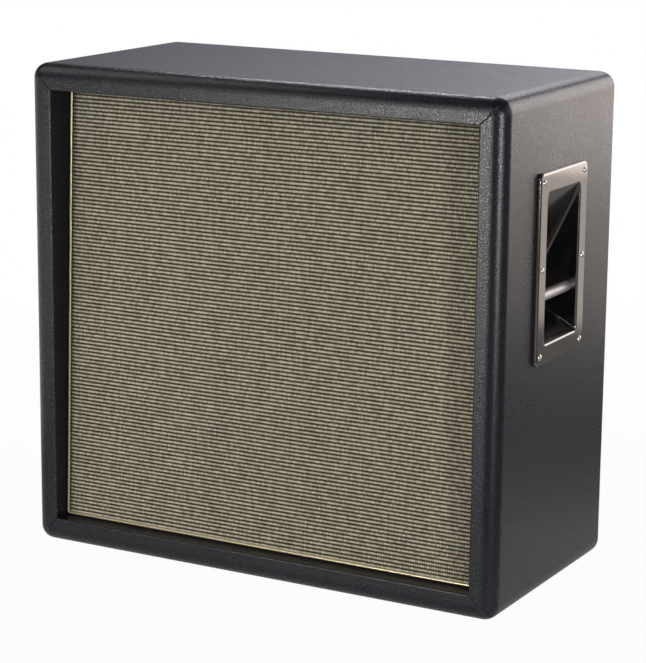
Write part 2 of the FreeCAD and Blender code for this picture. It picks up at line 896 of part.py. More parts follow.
def jack_ring(shape, height):
    """Open a nut or washer for the bush."""
    hole = rod(jack_bush_radius + jack_clearance, vec(0, -cut_overrun, 0), vec(0, height + cut_overrun, 0))
    return shape.cut(hole)


def jack_washer():
    disc = rod(jack_washer_radius, vec(0, 0, 0), vec(0, jack_washer_height, 0))
    washer = jack_ring(disc, jack_washer_height)
    washer.translate(vec(0, jack_seat + dish_wall, 0))
    return at_jack(washer)


def jack_nut():
    reach = jack_nut_flat / math.sqrt(3)
    angles = [math.radians(60 * index) for index in range(6)]
    corners = [vec(reach * math.cos(angle), 0, reach * math.sin(angle)) for angle in angles]
    hexagon = Part.Face(Part.makePolygon(corners + corners[:1]))
    nut = jack_ring(hexagon.extrude(vec(0, jack_nut_height, 0)), jack_nut_height)
    nut.translate(vec(0, jack_seat + dish_wall + jack_washer_height, 0))
    return at_jack(nut)


# Rubber feet under the four corners
def feet_at(shape):
    x = half_width - foot_inset
    y = back_y - foot_inset
    places = [vec(sx * x, sy * y, foot_recess_depth) for sx in (-1, 1) for sy in (-1, 1)]
    return pointed_all(shape, places, vec(0, 0, -1))


def rubber_foot():
    """A tapered foot, drawn upside down from the seat of its screw's head."""
    hole = foot_screw_radius + screw_clearance
    floor = foot_recess_depth
    top = foot_recess_depth - foot_height
    return upright(turned([
        (hole, top), (foot_top_radius, top), (foot_floor_radius, floor),
        (foot_recess_radius, floor), (foot_recess_radius, 0), (hole, 0),
    ]))


# Drivers, drawn with the Y axis as their axis and the baffle's rear face at zero
flange_front = gasket_thickness + edge_thickness
flange_rear = flange_front + basket_sheet
flange_bore_radius = flange_radius - flange_width
cutout_radius = flange_radius - cutout_margin
gasket_radius = flange_radius - gasket_inset
rim_radius = flange_bore_radius - rim_taper
edge_lip_radius = flange_bore_radius - edge_lip_gap
cone_radius = edge_lip_radius - edge_width
bolt_circle_radius = flange_radius - bolt_circle_inset
bolt_length = flange_rear + baffle_thickness - bolt_tip_inset
ledge_inner_radius = ledge_radius - ledge_width
seat_depth = ledge_depth + seat_drop
seat_radius = ledge_inner_radius - seat_taper
former_outer = former_radius + former_wall
coil_outer = former_outer + winding_wall
plate_bore_radius = coil_outer + magnet_gap
seat_bore_radius = plate_bore_radius + seat_bore_margin
magnet_bore_radius = plate_bore_radius + magnet_bore_margin
top_plate_front = seat_depth + basket_sheet
magnet_front = top_plate_front + top_plate_thickness
yoke_front = magnet_front + magnet_thickness
spider_depth = ledge_depth - spider_thickness
cone_neck = spider_depth - cone_neck_gap


def bolt_holes():
    """Holes for the bolts in the soft rings under the flange."""
    hole = rod(bolt_radius + screw_clearance, vec(0, -cut_overrun, 0), vec(0, flange_rear, 0))
    return driver_ring(hole, bolt_step_count)


def gasket():
    ring = turned([
        (cutout_radius, 0), (gasket_radius, 0),
        (gasket_radius, gasket_thickness), (cutout_radius, gasket_thickness),
    ])
    return ring.cut(bolt_holes())


def window():
    """An opening between two arms of the basket, with rounded corners."""
    half = math.radians(window_angle / 2)
    inner = ledge_radius + window_ledge_margin
    outer = rim_radius - window_rim_margin

    def on_arc(radius, angle):
        return vec(radius * math.cos(angle), 0, radius * math.sin(angle))

    def arc(radius, start, end):
        return Part.Arc(on_arc(radius, start), on_arc(radius, 0), on_arc(radius, end)).toShape()

    edges = [
        arc(inner, -half, half),
        Part.makeLine(on_arc(inner, half), on_arc(outer, half)),
        arc(outer, half, -half),
        Part.makeLine(on_arc(outer, -half), on_arc(inner, -half)),
    ]
    block = Part.Face(Part.Wire(edges)).extrude(vec(0, seat_depth, 0))
    return rounded(block, window_corner_radius, runs_along_y)


def basket():
    """The pressed frame: bolt flange, rim, eight arms, spider ledge and magnet seat."""
    front = [
        (flange_radius, flange_front), (flange_bore_radius, flange_front),
        (rim_radius, flange_front + rim_depth), (ledge_radius, ledge_depth),
        (ledge_inner_radius, ledge_depth), (seat_radius, seat_depth), (seat_bore_radius, seat_depth),
    ]
    rear = [(radius, depth + basket_sheet) for radius, depth in reversed(front)]
    rear[1] = (seat_radius + basket_sheet, seat_depth + basket_sheet)
    rear[2] = (ledge_inner_radius + basket_sheet, ledge_depth + basket_sheet)
    rear[3] = (ledge_radius + basket_sheet, ledge_depth + basket_sheet)
    rear[4] = (rim_radius + basket_sheet, flange_front + rim_depth + basket_sheet)
    rear[5] = (flange_bore_radius + basket_sheet, flange_front + basket_sheet)
    frame = turned(front + rear)
    opening = window()
    tools = []
    for index in range(window_count):
        copy = opening.copy()
        copy.rotate(vec(0, 0, 0), vec(0, 1, 0), index * 360 / window_count)
        tools.append(copy)
    hole = rod(bolt_hole_radius, vec(0, 0, 0), vec(0, flange_rear + cut_overrun, 0))
    return frame.cut(tools + driver_ring(hole))


def waved(start, end, count, height):
    """The front of a sheet pressed into flat-topped waves, as radius and depth pairs."""
    points = []
    for index in range(count):
        crest = height if index % 2 == 0 else -height
        for share, rise in zip((0, *wave_crest_shares), (0, crest, crest)):
            along = (index + share) / count
            radius, depth = [a + along * (b - a) for a, b in zip(start, end)]
            points.append((radius, depth + rise))
    return points + [end]


def pressed_ring(front, rim, thickness):
    """A sheet ring from its pressed front, out to a flat rim."""
    outline = front + [(rim, front[-1][1])]
    return turned(outline + [(radius, depth + thickness) for radius, depth in outline[::-1]])


def cone_edge():
    """The corrugated paper edge, from the cone to its lip under the gasket."""
    inner = (cone_radius + moving_gap, cone_front)
    lip = (edge_lip_radius, gasket_thickness)
    front = waved(inner, lip, edge_wave_count, edge_wave_height)
    return pressed_ring(front, gasket_radius, edge_thickness).cut(bolt_holes())


def spider():
    """The corrugated suspension ring from its ledge in the basket to the coil former."""
    inner = (former_outer + moving_gap, spider_depth)
    lip = (ledge_inner_radius, spider_depth)
    front = waved(inner, lip, spider_wave_count, -spider_wave_height)
    return pressed_ring(front, ledge_radius - moving_gap - spider_thickness, spider_thickness)


def cone_curve():
    """Ends and middle of the cone's front: a shallow curve from the edge in to the neck."""
    neck = (former_outer + glue_gap, cone_neck)
    edge = (cone_radius, cone_front)
    middle = ((neck[0] + edge[0]) / 2, (neck[1] + edge[1]) / 2 + cone_sag)
    return neck, middle, edge


def cone_depth_at(radius):
    """Depth of the cone's front face at a radius."""
    circle = Part.Arc(*[vec(*point, 0) for point in cone_curve()])
    upright = Part.LineSegment(vec(radius, -body_depth, 0), vec(radius, body_depth, 0))
    return circle.intersect(upright)[0].Y


def cone():
    neck, middle, edge = cone_curve()
    rear = [(radius, depth + cone_thickness) for radius, depth in (edge, middle, neck)]
    return lathe([bow(neck, middle, edge)] + lines([edge, rear[0]]) + [bow(*rear)] + lines([rear[2], neck]))


def dust_cap():
    """A domed cap whose rim sits on the cone's front face."""
    seat = cone_depth_at(cap_radius) - glue_gap
    inner_radius = cap_radius - 2 * cap_thickness
    inner_seat = cone_depth_at(inner_radius) - glue_gap
    top = seat - cap_rise
    inner_top = top + cap_thickness
    front = dome(cap_radius, seat, top)
    rear = dome(inner_radius, inner_seat, inner_top)
    axis = lines([(0, top), (0, inner_top)])
    rim = lines([(inner_radius, inner_seat), (cap_radius, seat)])
    return lathe([front] + axis + [rear] + rim)


def voice_coil():
    """The paper former with its winding, centred in the magnet's gap."""
    middle = top_plate_front + top_plate_thickness / 2
    front = cone_neck - former_lead
    start = middle - winding_length / 2
    end = middle + winding_length / 2
    return turned([
        (former_radius, front), (former_outer, front), (former_outer, start),
        (coil_outer, start), (coil_outer, end), (former_radius, end),
    ])


def top_plate():
    return turned([
        (plate_bore_radius, top_plate_front), (top_plate_radius, top_plate_front),
        (top_plate_radius, magnet_front), (plate_bore_radius, magnet_front),
    ])


def magnet():
    return turned([
        (magnet_bore_radius, magnet_front), (magnet_radius, magnet_front),
        (magnet_radius, yoke_front), (magnet_bore_radius, yoke_front),
    ])


def pole_yoke():
    pole = former_radius - magnet_gap
    back = yoke_front + yoke_thickness
    return turned([
        (0, top_plate_front), (pole, top_plate_front), (pole, yoke_front), (yoke_radius, yoke_front),
        (yoke_radius, back), (0, back),
    ])


def driver_bolts():
    """Bolts through the flange from behind, into the nuts at the baffle's front."""
    bolt = pointed(dome_screw(bolt_radius, bolt_length), vec(0, flange_rear, 0), vec(0, 1, 0))
    return Part.makeCompound(driver_ring(bolt, bolt_step_count))


def tee_nuts():
    """Flanged nuts sunk in the baffle's front face, with barrels for the bolts."""
    front = -baffle_thickness
    bore = bolt_radius + tee_clearance
    nut = turned([
        (bore, front), (tee_flange_radius, front), (tee_flange_radius, front + tee_flange_thickness),
        (tee_barrel_radius, front + tee_flange_thickness),
        (tee_barrel_radius, front + tee_barrel_length), (bore, front + tee_barrel_length),
    ])
    return Part.makeCompound(driver_ring(nut, bolt_step_count))


# Terminal blocks stand on the rims beside the cabinet's middle, where the leads run
terminal_reach = (flange_bore_radius + flange_radius) / 2
boot_depth = flange_rear + terminal_height + terminal_boot_length


def terminal_block(name):
    side = 1 if driver_places[name][0] < 0 else -1
    seat = flange_rear
    top = seat + terminal_height
    middle = side * terminal_reach
    half = terminal_width / 2
    end = terminal_length / 2
    block = box_between((middle - half, middle + half), (seat, top), (-end, end))
    boots = [
        rod(terminal_boot_radius, vec(middle, top, sign * terminal_boot_spacing / 2),
            vec(middle, boot_depth, sign * terminal_boot_spacing / 2))
        for sign in (-1, 1)
    ]
    return at_driver(block.fuse(boots), name)


def from_boot(name, sign):
    """A lead's first two points, straight out of a terminal block's upper or lower boot."""
    x, z = driver_places[name]
    middle = x + (terminal_reach if x < 0 else -terminal_reach)
    height = z + sign * terminal_boot_spacing / 2
    depths = (baffle_rear + boot_depth, baffle_rear + boot_depth + lead_exit)
    return [grille_place.multVec(vec(middle, depth, height)) for depth in depths]


def lead(points):
    """A round lead along straight runs joined by arcs as large as the runs allow."""
    edges = []
    last = points[0]
    radii = []
    for before, corner, after in zip(points, points[1:], points[2:]):
        back = before.sub(corner)
        ahead = after.sub(corner)
        reach = lead_bend_share * min(back.Length, ahead.Length)
        turn = math.pi - back.getAngle(ahead)
        radii.append(reach / math.tan(turn / 2))
        start = corner.add(back.normalize().multiply(reach))
        end = corner.add(ahead.normalize().multiply(reach))
        centre_way = start.add(end).multiply(0.5).sub(corner).normalize()
        knee = corner.add(centre_way.multiply(radii[-1] / math.cos(turn / 2) - radii[-1]))
        edges.append(Part.makeLine(last, start))
        edges.append(Part.Arc(start, knee, end).toShape())
        last = end
    edges.append(Part.makeLine(last, points[-1]))
    path = Part.Wire(edges)
    circle = Part.makeCircle(lead_radius, points[0], points[1].sub(points[0]))
    tube = path.makePipeShell([Part.Wire(circle)], True, False)
    filled_share = tube.Volume / (math.pi * lead_radius ** 2 * path.Length)
    print("lead radii", [round(radius, 1) for radius in radii], "filled", round(filled_share, 4))
    return tube


def riser(side):
    """The lead from a lower driver up to the one above it, past the brace."""
    name = "left" if side < 0 else "right"
    middle = [grille_place.multVec(vec(side * x, baffle_rear + y, z)) for x, y, z in riser_points]
    return lead(from_boot(f"lower_{name}", 1) + middle + from_boot(f"upper_{name}", -1)[::-1])


def feeder(side):
    """The lead from the jack's tag to a lower driver."""
    name = "left" if side < 0 else "right"
    tag_y = back_outer_y + jack_seat - jack_body_length - jack_tag_length
    into_tag = [vec(side * jack_tag_offset, y, base_z + jack_above_base) for y in (tag_y - lead_exit, tag_y)]
    middle = [grille_place.multVec(vec(side * x, baffle_rear + y, z)) for x, y, z in feeder_points]
    return lead(from_boot(f"lower_{name}", -1) + middle + into_tag)


def cable_clip(side):
    """A saddle on the brace's side that holds a riser at its middle."""
    x, y, _ = riser_points[len(riser_points) // 2]
    reach = lead_radius + clip_clearance + clip_wall
    half = clip_length / 2
    outer = x + reach
    block = box_between(
        (side * brace_size / 2, side * outer),
        (baffle_rear + y - reach, baffle_rear + y + reach),
        (-half, half),
    )
    hole = rod(
        lead_radius + clip_clearance,
        vec(side * x, baffle_rear + y, -clip_length),
        vec(side * x, baffle_rear + y, clip_length),
    )
    return leaned(block.cut(hole))


# Build every piece and write one file for each
carcass_block = rounded_block(cover_thickness)
both_sides = (-1, 1)
pieces = {
    "top_panel": level_panel(1),
    "bottom_panel": level_panel(-1).cut(feet_at(foot_hole)),
    "left_side_panel": side_panel(-1),
    "right_side_panel": side_panel(1),
    "front_rails": front_rails(),
    "shell_covering": covering(),
    "baffle_board": baffle_board(),
    "baffle_screws": Part.makeCompound(baffle_screws(baffle_screw)),
    "centre_brace": centre_brace().cut(back_screws(back_hole)),
    "grille_frame": grille_frame(),
    "grille_cloth": grille_cloth(),
    "grille_piping": grille_piping(),
    "grille_screws": Part.makeCompound(grille_screws(grille_screw)),
    "back_battens": back_battens(),
    "back_panel": back_panel(),
    "back_covering": back_covering(),
    "back_cup_washers": Part.makeCompound(back_screws(cup_washer())),
    "back_panel_screws": Part.makeCompound(back_screws(cup_screw())),
    "left_handle_dish": on_side(handle_dish(), -1),
    "right_handle_dish": on_side(handle_dish(), 1),
    "left_handle_bar": on_side(handle_bar(), -1),
    "right_handle_bar": on_side(handle_bar(), 1),
    "handle_screws": Part.makeCompound(handle_screws(-1, handle_screw) + handle_screws(1, handle_screw)),
    "jack_dish": jack_dish(),
    "jack_dish_screws": Part.makeCompound(dish_screws(dish_screw)),
    "jack_socket": jack_socket(),
    "jack_washer": jack_washer(),
    "jack_nut": jack_nut(),
    "rubber_feet": Part.makeCompound(feet_at(rubber_foot())),
    "foot_screws": Part.makeCompound(feet_at(foot_screw)),
    "driver_gaskets": at_drivers(gasket()),
    "driver_top_plates": at_drivers(top_plate()),
    "driver_magnets": at_drivers(magnet()),
    "driver_pole_yokes": at_drivers(pole_yoke()),
    "driver_spiders": at_drivers(spider()),
    "driver_bolts": at_drivers(driver_bolts()),
    "driver_tee_nuts": at_drivers(tee_nuts()),
    "driver_terminals": Part.makeCompound([terminal_block(name) for name in driver_places]),
    "speaker_leads": Part.makeCompound([make(side) for make in (riser, feeder) for side in both_sides]),
    "lead_clips": Part.makeCompound([cable_clip(side) for side in both_sides]),
}
for driver in driver_places:
    pieces[f"{driver}_basket"] = at_driver(basket(), driver)
    pieces[f"{driver}_cone_edge"] = at_driver(cone_edge(), driver)
    pieces[f"{driver}_cone"] = at_driver(cone(), driver)
    pieces[f"{driver}_dust_cap"] = at_driver(dust_cap(), driver)
    pieces[f"{driver}_voice_coil"] = at_driver(voice_coil(), driver)

os.makedirs("parts", exist_ok=True)
for name, shape in pieces.items():
    shape.exportStep(f"parts/{name}.step")
    print(name, "solids", len(shape.Solids), "valid", shape.isValid(), "volume", round(shape.Volume))
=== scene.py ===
import math

import bmesh
import bpy
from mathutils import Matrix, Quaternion, Vector


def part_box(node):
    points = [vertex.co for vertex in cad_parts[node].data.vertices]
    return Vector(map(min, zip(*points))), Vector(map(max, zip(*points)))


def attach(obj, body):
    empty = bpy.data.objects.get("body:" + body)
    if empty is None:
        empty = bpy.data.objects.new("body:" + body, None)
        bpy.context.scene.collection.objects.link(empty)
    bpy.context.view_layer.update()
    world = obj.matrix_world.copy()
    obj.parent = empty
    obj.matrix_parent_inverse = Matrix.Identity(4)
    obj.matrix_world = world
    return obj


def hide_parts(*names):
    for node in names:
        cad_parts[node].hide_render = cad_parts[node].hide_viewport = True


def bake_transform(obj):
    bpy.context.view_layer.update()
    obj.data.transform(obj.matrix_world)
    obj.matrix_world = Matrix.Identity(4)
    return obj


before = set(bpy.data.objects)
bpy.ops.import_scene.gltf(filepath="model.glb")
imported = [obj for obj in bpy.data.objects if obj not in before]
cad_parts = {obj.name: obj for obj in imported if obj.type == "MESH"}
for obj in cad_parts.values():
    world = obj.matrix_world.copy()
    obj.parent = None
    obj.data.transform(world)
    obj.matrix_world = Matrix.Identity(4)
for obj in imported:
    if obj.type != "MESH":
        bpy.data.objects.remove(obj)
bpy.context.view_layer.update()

# The studio: a pale floor that runs into a white background, tall soft panels standing behind the
# cabinet's right side, broad panels in front, and a camera with a long lens. Narrow strips draw the
# lines on the edges, and dim cards close to the left, the back and the corner lift the dark sides.
image_height = 663
view_azimuth = math.radians(29.0)
view_elevation = math.radians(12.85)
view_roll = math.radians(0.53)
view_distance = 3.534
view_target = Vector((0.0048, 0.0, 0.3436))
focal_pixels = 2379

camera = bpy.data.objects.new("camera", bpy.data.cameras.new("camera"))
bpy.context.scene.collection.objects.link(camera)
to_camera = Vector((
    math.sin(view_azimuth) * math.cos(view_elevation),
    -math.cos(view_azimuth) * math.cos(view_elevation),
    math.sin(view_elevation),
))
camera.location = view_target + to_camera * view_distance
camera.rotation_mode = "QUATERNION"
camera.rotation_quaternion = (-to_camera).to_track_quat("-Z", "Y") @ Quaternion((0, 0, 1), view_roll)
camera.data.lens = focal_pixels * camera.data.sensor_width / image_height
bpy.context.scene.camera = camera
bpy.context.scene.view_settings.view_transform = "Standard"


def soft_panel(name, place, aim, width, height, power, tint):
    """A softbox of this size, turned to an aim, which lights the object and shows only in its gloss."""
    lamp = bpy.data.lights.new(name, "AREA")
    lamp.shape = "RECTANGLE"
    lamp.size = width
    lamp.size_y = height
    lamp.energy = power
    lamp.color = tint
    panel = bpy.data.objects.new(name, lamp)
    panel.location = place
    panel.rotation_mode = "QUATERNION"
    panel.rotation_quaternion = (Vector(aim) - Vector(place)).to_track_quat("-Z", "Y")
    panel.visible_camera = False
    bpy.context.scene.collection.objects.link(panel)


warm, plain, cool = (1.0, 0.90, 0.83), (1.0, 0.98, 0.96), (0.95, 0.97, 1.0)
soft_panel("rear_panel_high", (0.95, 1.5, 0.88), (0.72, 0.0, 0.88), 0.90, 1.04, 9.4, warm)
soft_panel("rear_panel_low", (0.95, 1.5, 0.19), (0.72, 0.0, 0.19), 0.90, 0.31, 1.0, warm)
soft_panel("key_panel", (1.4, -2.9, 2.4), (0.0, 0.0, 0.4), 1.2, 1.2, 9.0, plain)
soft_panel("front_panel_high", (-0.80, -3.2, 1.55), (0.1, 0.0, 0.7), 1.8, 1.6, 18.0, plain)
soft_panel("front_panel_low", (-0.86, -3.2, 0.34), (0.1, 0.0, 0.5), 0.8, 0.62, 38.0, plain)
soft_panel("edge_strip", (-0.80, 1.09, 2.18), (0.15, -0.19, 0.73), 0.8, 0.25, 12.0, cool)
soft_panel("side_strip", (2.2, -1.42, 0.50), (0.38, -0.18, 0.50), 0.30, 0.42, 24.0, cool)
soft_panel("rear_fill", (-0.30, 2.6, 2.20), (0.0, 0.2, 0.4), 1.1, 0.9, 9.0, plain)
soft_panel("rear_card", (-0.05, 0.50, 0.33), (-0.05, 0.19, 0.33), 0.80, 0.62, 1.3, plain)
soft_panel("left_card", (-0.92, -0.20, 0.36), (-0.38, -0.20, 0.36), 1.4, 0.70, 2.6, plain)
soft_panel("corner_card", (-0.90, -0.50, 1.60), (-0.38, -0.19, 0.73), 0.7, 0.9, 3.2, plain)
soft_panel("low_card", (-1.05, -1.30, 0.25), (-0.38, -0.19, 0.45), 0.55, 0.50, 0.5, plain)


class Wire:
    """An output socket of a node tree. Arithmetic on wires adds Math nodes to the tree."""

    def __init__(self, tree, socket=None):
        self.tree = tree
        self.socket = socket

    def node(self, kind, settings=None, values=None, output=0):
        """Add a node, make its settings, feed its sockets and return one of its outputs."""
        made = self.tree.nodes.new(kind)
        for name, value in (settings or {}).items():
            if name == "stops":
                for index, (place, colour) in enumerate(value):
                    ramp = made.color_ramp.elements
                    stop = ramp[index] if index < 2 else ramp.new(place)
                    stop.position = place
                    stop.color = (*colour, 1.0)
            else:
                setattr(made, name, value)
        for name, value in (values or {}).items():
            if isinstance(value, Wire):
                self.tree.links.new(value.socket, made.inputs[name])
            elif isinstance(value, tuple) and made.inputs[name].type == "RGBA":
                made.inputs[name].default_value = (*value, 1.0)
            else:
                made.inputs[name].default_value = value
        return Wire(self.tree, made.outputs[output]) if made.outputs else None

    def math(self, operation, first, second=0.0):
        return self.node("ShaderNodeMath", {"operation": operation}, {0: first, 1: second})

    def __add__(self, other):
        return self.math("ADD", self, other)

    def __sub__(self, other):
        return self.math("SUBTRACT", self, other)

    def __rsub__(self, other):
        return self.math("SUBTRACT", other, self)

    def __mul__(self, other):
        return self.math("MULTIPLY", self, other)

    def __truediv__(self, other):
        return self.math("DIVIDE", self, other)

    def __pow__(self, other):
        return self.math("POWER", self, other)

    __radd__ = __add__
    __rmul__ = __mul__


def empty_tree(owner):
    """Clear the nodes of a material or of the world, ready for its own."""
    owner.use_nodes = True
    owner.node_tree.nodes.clear()
    return Wire(owner.node_tree)


def eased(value, low, high, start, end):
    """A wire that goes smoothly from start to end as a value goes from low to high."""
    return value.node("ShaderNodeMapRange", {"interpolation_type": "SMOOTHSTEP"}, {
        0: value, 1: low, 2: high, 3: start, 4: end,
    })


backdrop = bpy.data.worlds.new("backdrop")
bpy.context.scene.world = backdrop
sky = empty_tree(backdrop)
path = "ShaderNodeLightPath"
seen = (
    sky.node(path, output="Is Camera Ray")
    + sky.node(path, output="Is Glossy Ray")
    + sky.node(path, output="Is Transmission Ray")
)
toward = sky.node("ShaderNodeTexCoord", output="Generated")
across, behind, above = (
    sky.node("ShaderNodeSeparateXYZ", values={0: toward}, output=axis) for axis in "XYZ"
)
rear_wall = eased(behind, -0.25, 0.35, 0.15, 1.0)
low_wall = eased(above, 0.10, 0.65, 1.0, 0.15)
right_wall = sky.node("ShaderNodeMapRange", values={0: across, 1: -0.65, 2: -0.32, 3: 0.12, 4: 1.3})
camera_ray = sky.node(path, output="Is Camera Ray")
wall_light = sky.math("MAXIMUM", rear_wall * low_wall * right_wall, camera_ray)
wall_tint = sky.node("ShaderNodeMix", {"data_type": "RGBA"}, {
    0: camera_ray, 6: (0.86, 0.83, 0.96), 7: (1.0, 1.0, 1.0),
}, 2)
room_light = sky.node("ShaderNodeBackground", values={"Color": (1.0, 1.0, 1.0), "Strength": 0.25})
white_wall = sky.node("ShaderNodeBackground", values={"Color": wall_tint, "Strength": wall_light})
sky.node("ShaderNodeOutputWorld", values={
    "Surface": sky.node("ShaderNodeMixShader", values={0: seen, 1: room_light, 2: white_wall}),
})

floor_half = 30.0
floor_mesh = bpy.data.meshes.new("floor")
floor_mesh.from_pydata(
    [(sx * floor_half, sy * floor_half, 0.0) for sx, sy in ((-1, -1), (1, -1), (1, 1), (-1, 1))],
    [],
    [(0, 1, 2, 3)],
)
floor = bpy.data.objects.new("floor", floor_mesh)
bpy.context.scene.collection.objects.link(floor)
floor_paper = bpy.data.materials.new("floor_paper")
paper = empty_tree(floor_paper)
matt = paper.node("ShaderNodeBsdfDiffuse", values={"Color": (0.24, 0.24, 0.24)})
glow = paper.node("ShaderNodeEmission", values={"Color": (1.0, 1.0, 1.0), "Strength": 1.0})
away = paper.node("ShaderNodeVectorMath", {"operation": "LENGTH"}, {
    0: paper.node("ShaderNodeTexCoord", output="Object"),
}, "Value")
far_share = eased(away, 0.5, 2.2, 0.97, 1.0)
# Painted reflection: to glossy rays the floor glows near the cabinet and fades out within a metre, which
# brightens the floor seen in the lower sides.
glossy_glow_near_cabinet = eased(away, 0.45, 1.0, 0.48, 0.05)
seen_share = (
    paper.node(path, output="Is Camera Ray") * far_share
    + paper.node(path, output="Is Glossy Ray") * glossy_glow_near_cabinet
)
from_above = paper.node("ShaderNodeMixShader", values={0: seen_share, 1: matt, 2: glow})
paper.node("ShaderNodeOutputMaterial", values={
    "Surface": paper.node("ShaderNodeMixShader", values={
        0: paper.node("ShaderNodeNewGeometry", output="Backfacing"),
        1: from_above,
        2: paper.node("ShaderNodeBsdfTransparent"),
    }),
})
floor_mesh.materials.append(floor_paper)

# The covering: one skin of black pebble-grain vinyl, glued round the carcass, over the lip and into
# the recess. It is cut and butted on the mitre at each corner of the front.
edge_radius = 0.022
lip_width = 0.038
lip_edge_radius = 0.002
cover_thickness = 0.001
recess_top = 0.052
recess_bottom = 0.028
baffle_behind_cloth = 0.017
rear_lip_width = 0.024
rear_lip_edge_radius = 0.001
rear_recess = 0.022
seam_depth = 0.0008
seam_half_width = 0.0013
plate_overlap = 0.021
pebbles_per_metre = 340.0
pebble_wander = 0.0014

body_low, body_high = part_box("shell_covering")
body_middle = (body_low + body_high) / 2
half_width = (body_high.x - body_low.x) / 2
half_height = (body_high.z - body_low.z) / 2
body_depth = body_high.y - body_low.y
opening_half_height = half_height - lip_width
lean = math.atan2(recess_top - recess_bottom, 2 * opening_half_height)


def cloth_depth(z):
    """Depth of the leaning grille's front behind the lip, at a height."""
    return (recess_top + recess_bottom) / 2 + math.tan(lean) * (z - body_middle.z)


def arc(centre, radius, start, end, steps):
    """Points on a round edge as inset and depth pairs, between two angles in degrees."""
    points = []
    for index in range(steps + 1):
        angle = math.radians(start + (end - start) * index / steps)
        points.append((centre[0] + radius * math.cos(angle), centre[1] + radius * math.sin(angle)))
    return points


def handle_hole():
    """Ends of the hole under the handle's plate: depths from the front, then heights."""
    low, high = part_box("right_handle_dish")
    return (
        (low.y + plate_overlap - body_low.y, high.y - plate_overlap - body_low.y),
        (low.z + plate_overlap, high.z - plate_overlap),
    )


def covering_outline(hole_depths):
    """Inset from the outside and depth from the front, from the recess round to the rear."""
    outline = [(lip_width, recess_bottom)]
    outline += arc((lip_width - lip_edge_radius, lip_edge_radius), lip_edge_radius, 0, -90, 4)
    outline += [(lip_width - share * (lip_width - edge_radius), 0.0) for share in (0.2, 0.5, 0.8)]
    outline += arc((edge_radius, edge_radius), edge_radius, -90, -180, 10)
    outline += [(0.0, depth) for depth in hole_depths]
    outline += arc((edge_radius, body_depth - edge_radius), edge_radius, 180, 90, 10)
    corner = (rear_lip_width - rear_lip_edge_radius, body_depth - rear_lip_edge_radius)
    outline += arc(corner, rear_lip_edge_radius, 90, 0, 3)
    outline.append((rear_lip_width, body_depth - rear_recess))
    return outline


def covering_loop(inset, depth, hole_heights):
    """Points round the cabinet at one inset and depth, with the seam sunk at each corner."""
    radius = max(edge_radius - inset, 0.0)
    reach_x = half_width - inset - radius
    reach_z = half_height - inset - radius
    on_lip = depth < edge_radius and inset > 0
    turns = (0, 15, 30, 39, 43, 45, 47, 51, 60, 75, 90)
    loop = []
    for quarter, (sx, sz) in enumerate(((1, 1), (-1, 1), (-1, -1), (1, -1))):
        before = Vector((sx * reach_x, sz * (reach_z - seam_half_width)))
        after = Vector((sx * (reach_x - seam_half_width), sz * reach_z))
        corner = []
        for turn in turns:
            angle = math.radians(turn + 90 * quarter)
            off_seam = abs(turn - 45) / 4 if radius > 0 else 0.0
            sink = seam_depth * max(1 - off_seam, 0.0) if on_lip else 0.0
            x = sx * reach_x + radius * math.cos(angle)
            z = sz * reach_z + radius * math.sin(angle)
            corner.append((x, depth + sink, z))
        entry, leave = (before, after) if sx == sz else (after, before)
        outward = Vector((math.cos(math.radians(90 * quarter)), math.sin(math.radians(90 * quarter))))
        onward = Vector((-outward.y, outward.x))
        start = entry + outward * radius
        end = leave + onward * radius
        loop.append((start.x, depth, start.y))
        loop += corner
        loop.append((end.x, depth, end.y))
        if sx < 0 < sz:
            loop += [(-half_width + inset, depth, z - body_middle.z) for z in reversed(hole_heights)]
        if sx > 0 > sz:
            loop += [(half_width - inset, depth, z - body_middle.z) for z in hole_heights]
    return loop


def new_piece(name, mesh):
    """Turn a finished mesh under construction into an object of the scene."""
    data = bpy.data.meshes.new(name)
    mesh.to_mesh(data)
    mesh.free()
    piece = bpy.data.objects.new(name, data)
    bpy.context.scene.collection.objects.link(piece)
    return piece


def make_covering():
    hole_depths, hole_heights = handle_hole()
    mesh = bmesh.new()
    # The seam and turn_in layers mark where the vinyl paints shade: the mitre grooves, and the recess
    # wall, darker towards its back.
    seam = mesh.verts.layers.float.new("seam")
    turn_in = mesh.verts.layers.float.new("turn_in")
    rings = []
    for index, (inset, depth) in enumerate(covering_outline(hole_depths)):
        ring = []
        for x, d, z in covering_loop(inset, depth, hole_heights):
            height = z + body_middle.z
            if index == 0:
                d = cloth_depth(height) + baffle_behind_cloth
            point = mesh.verts.new((x, body_low.y + d, height))
            point[seam] = (d - depth) / seam_depth if index else 0.0
            point[turn_in] = 0.0 if index else 1.0
            ring.append(point)
        rings.append(ring)
    for ring, following in zip(rings, rings[1:]):
        for index in range(len(ring)):
            corners = [ring[index - 1], ring[index], following[index], following[index - 1]]
            middle = sum((v.co for v in corners), Vector()) / 4
            in_hole = (
                abs(middle.x) > half_width - cover_thickness
                and hole_depths[0] < middle.y - body_low.y < hole_depths[1]
                and hole_heights[0] < middle.z < hole_heights[1]
            )
            if not in_hole:
                face = mesh.faces.new(corners)
                face.smooth = all(point[seam] < 0.5 for point in corners)
    bmesh.ops.remove_doubles(mesh, verts=mesh.verts, dist=1e-6)
    bmesh.ops.recalc_face_normals(mesh, faces=mesh.faces)
    return new_piece("covering_skin", mesh)


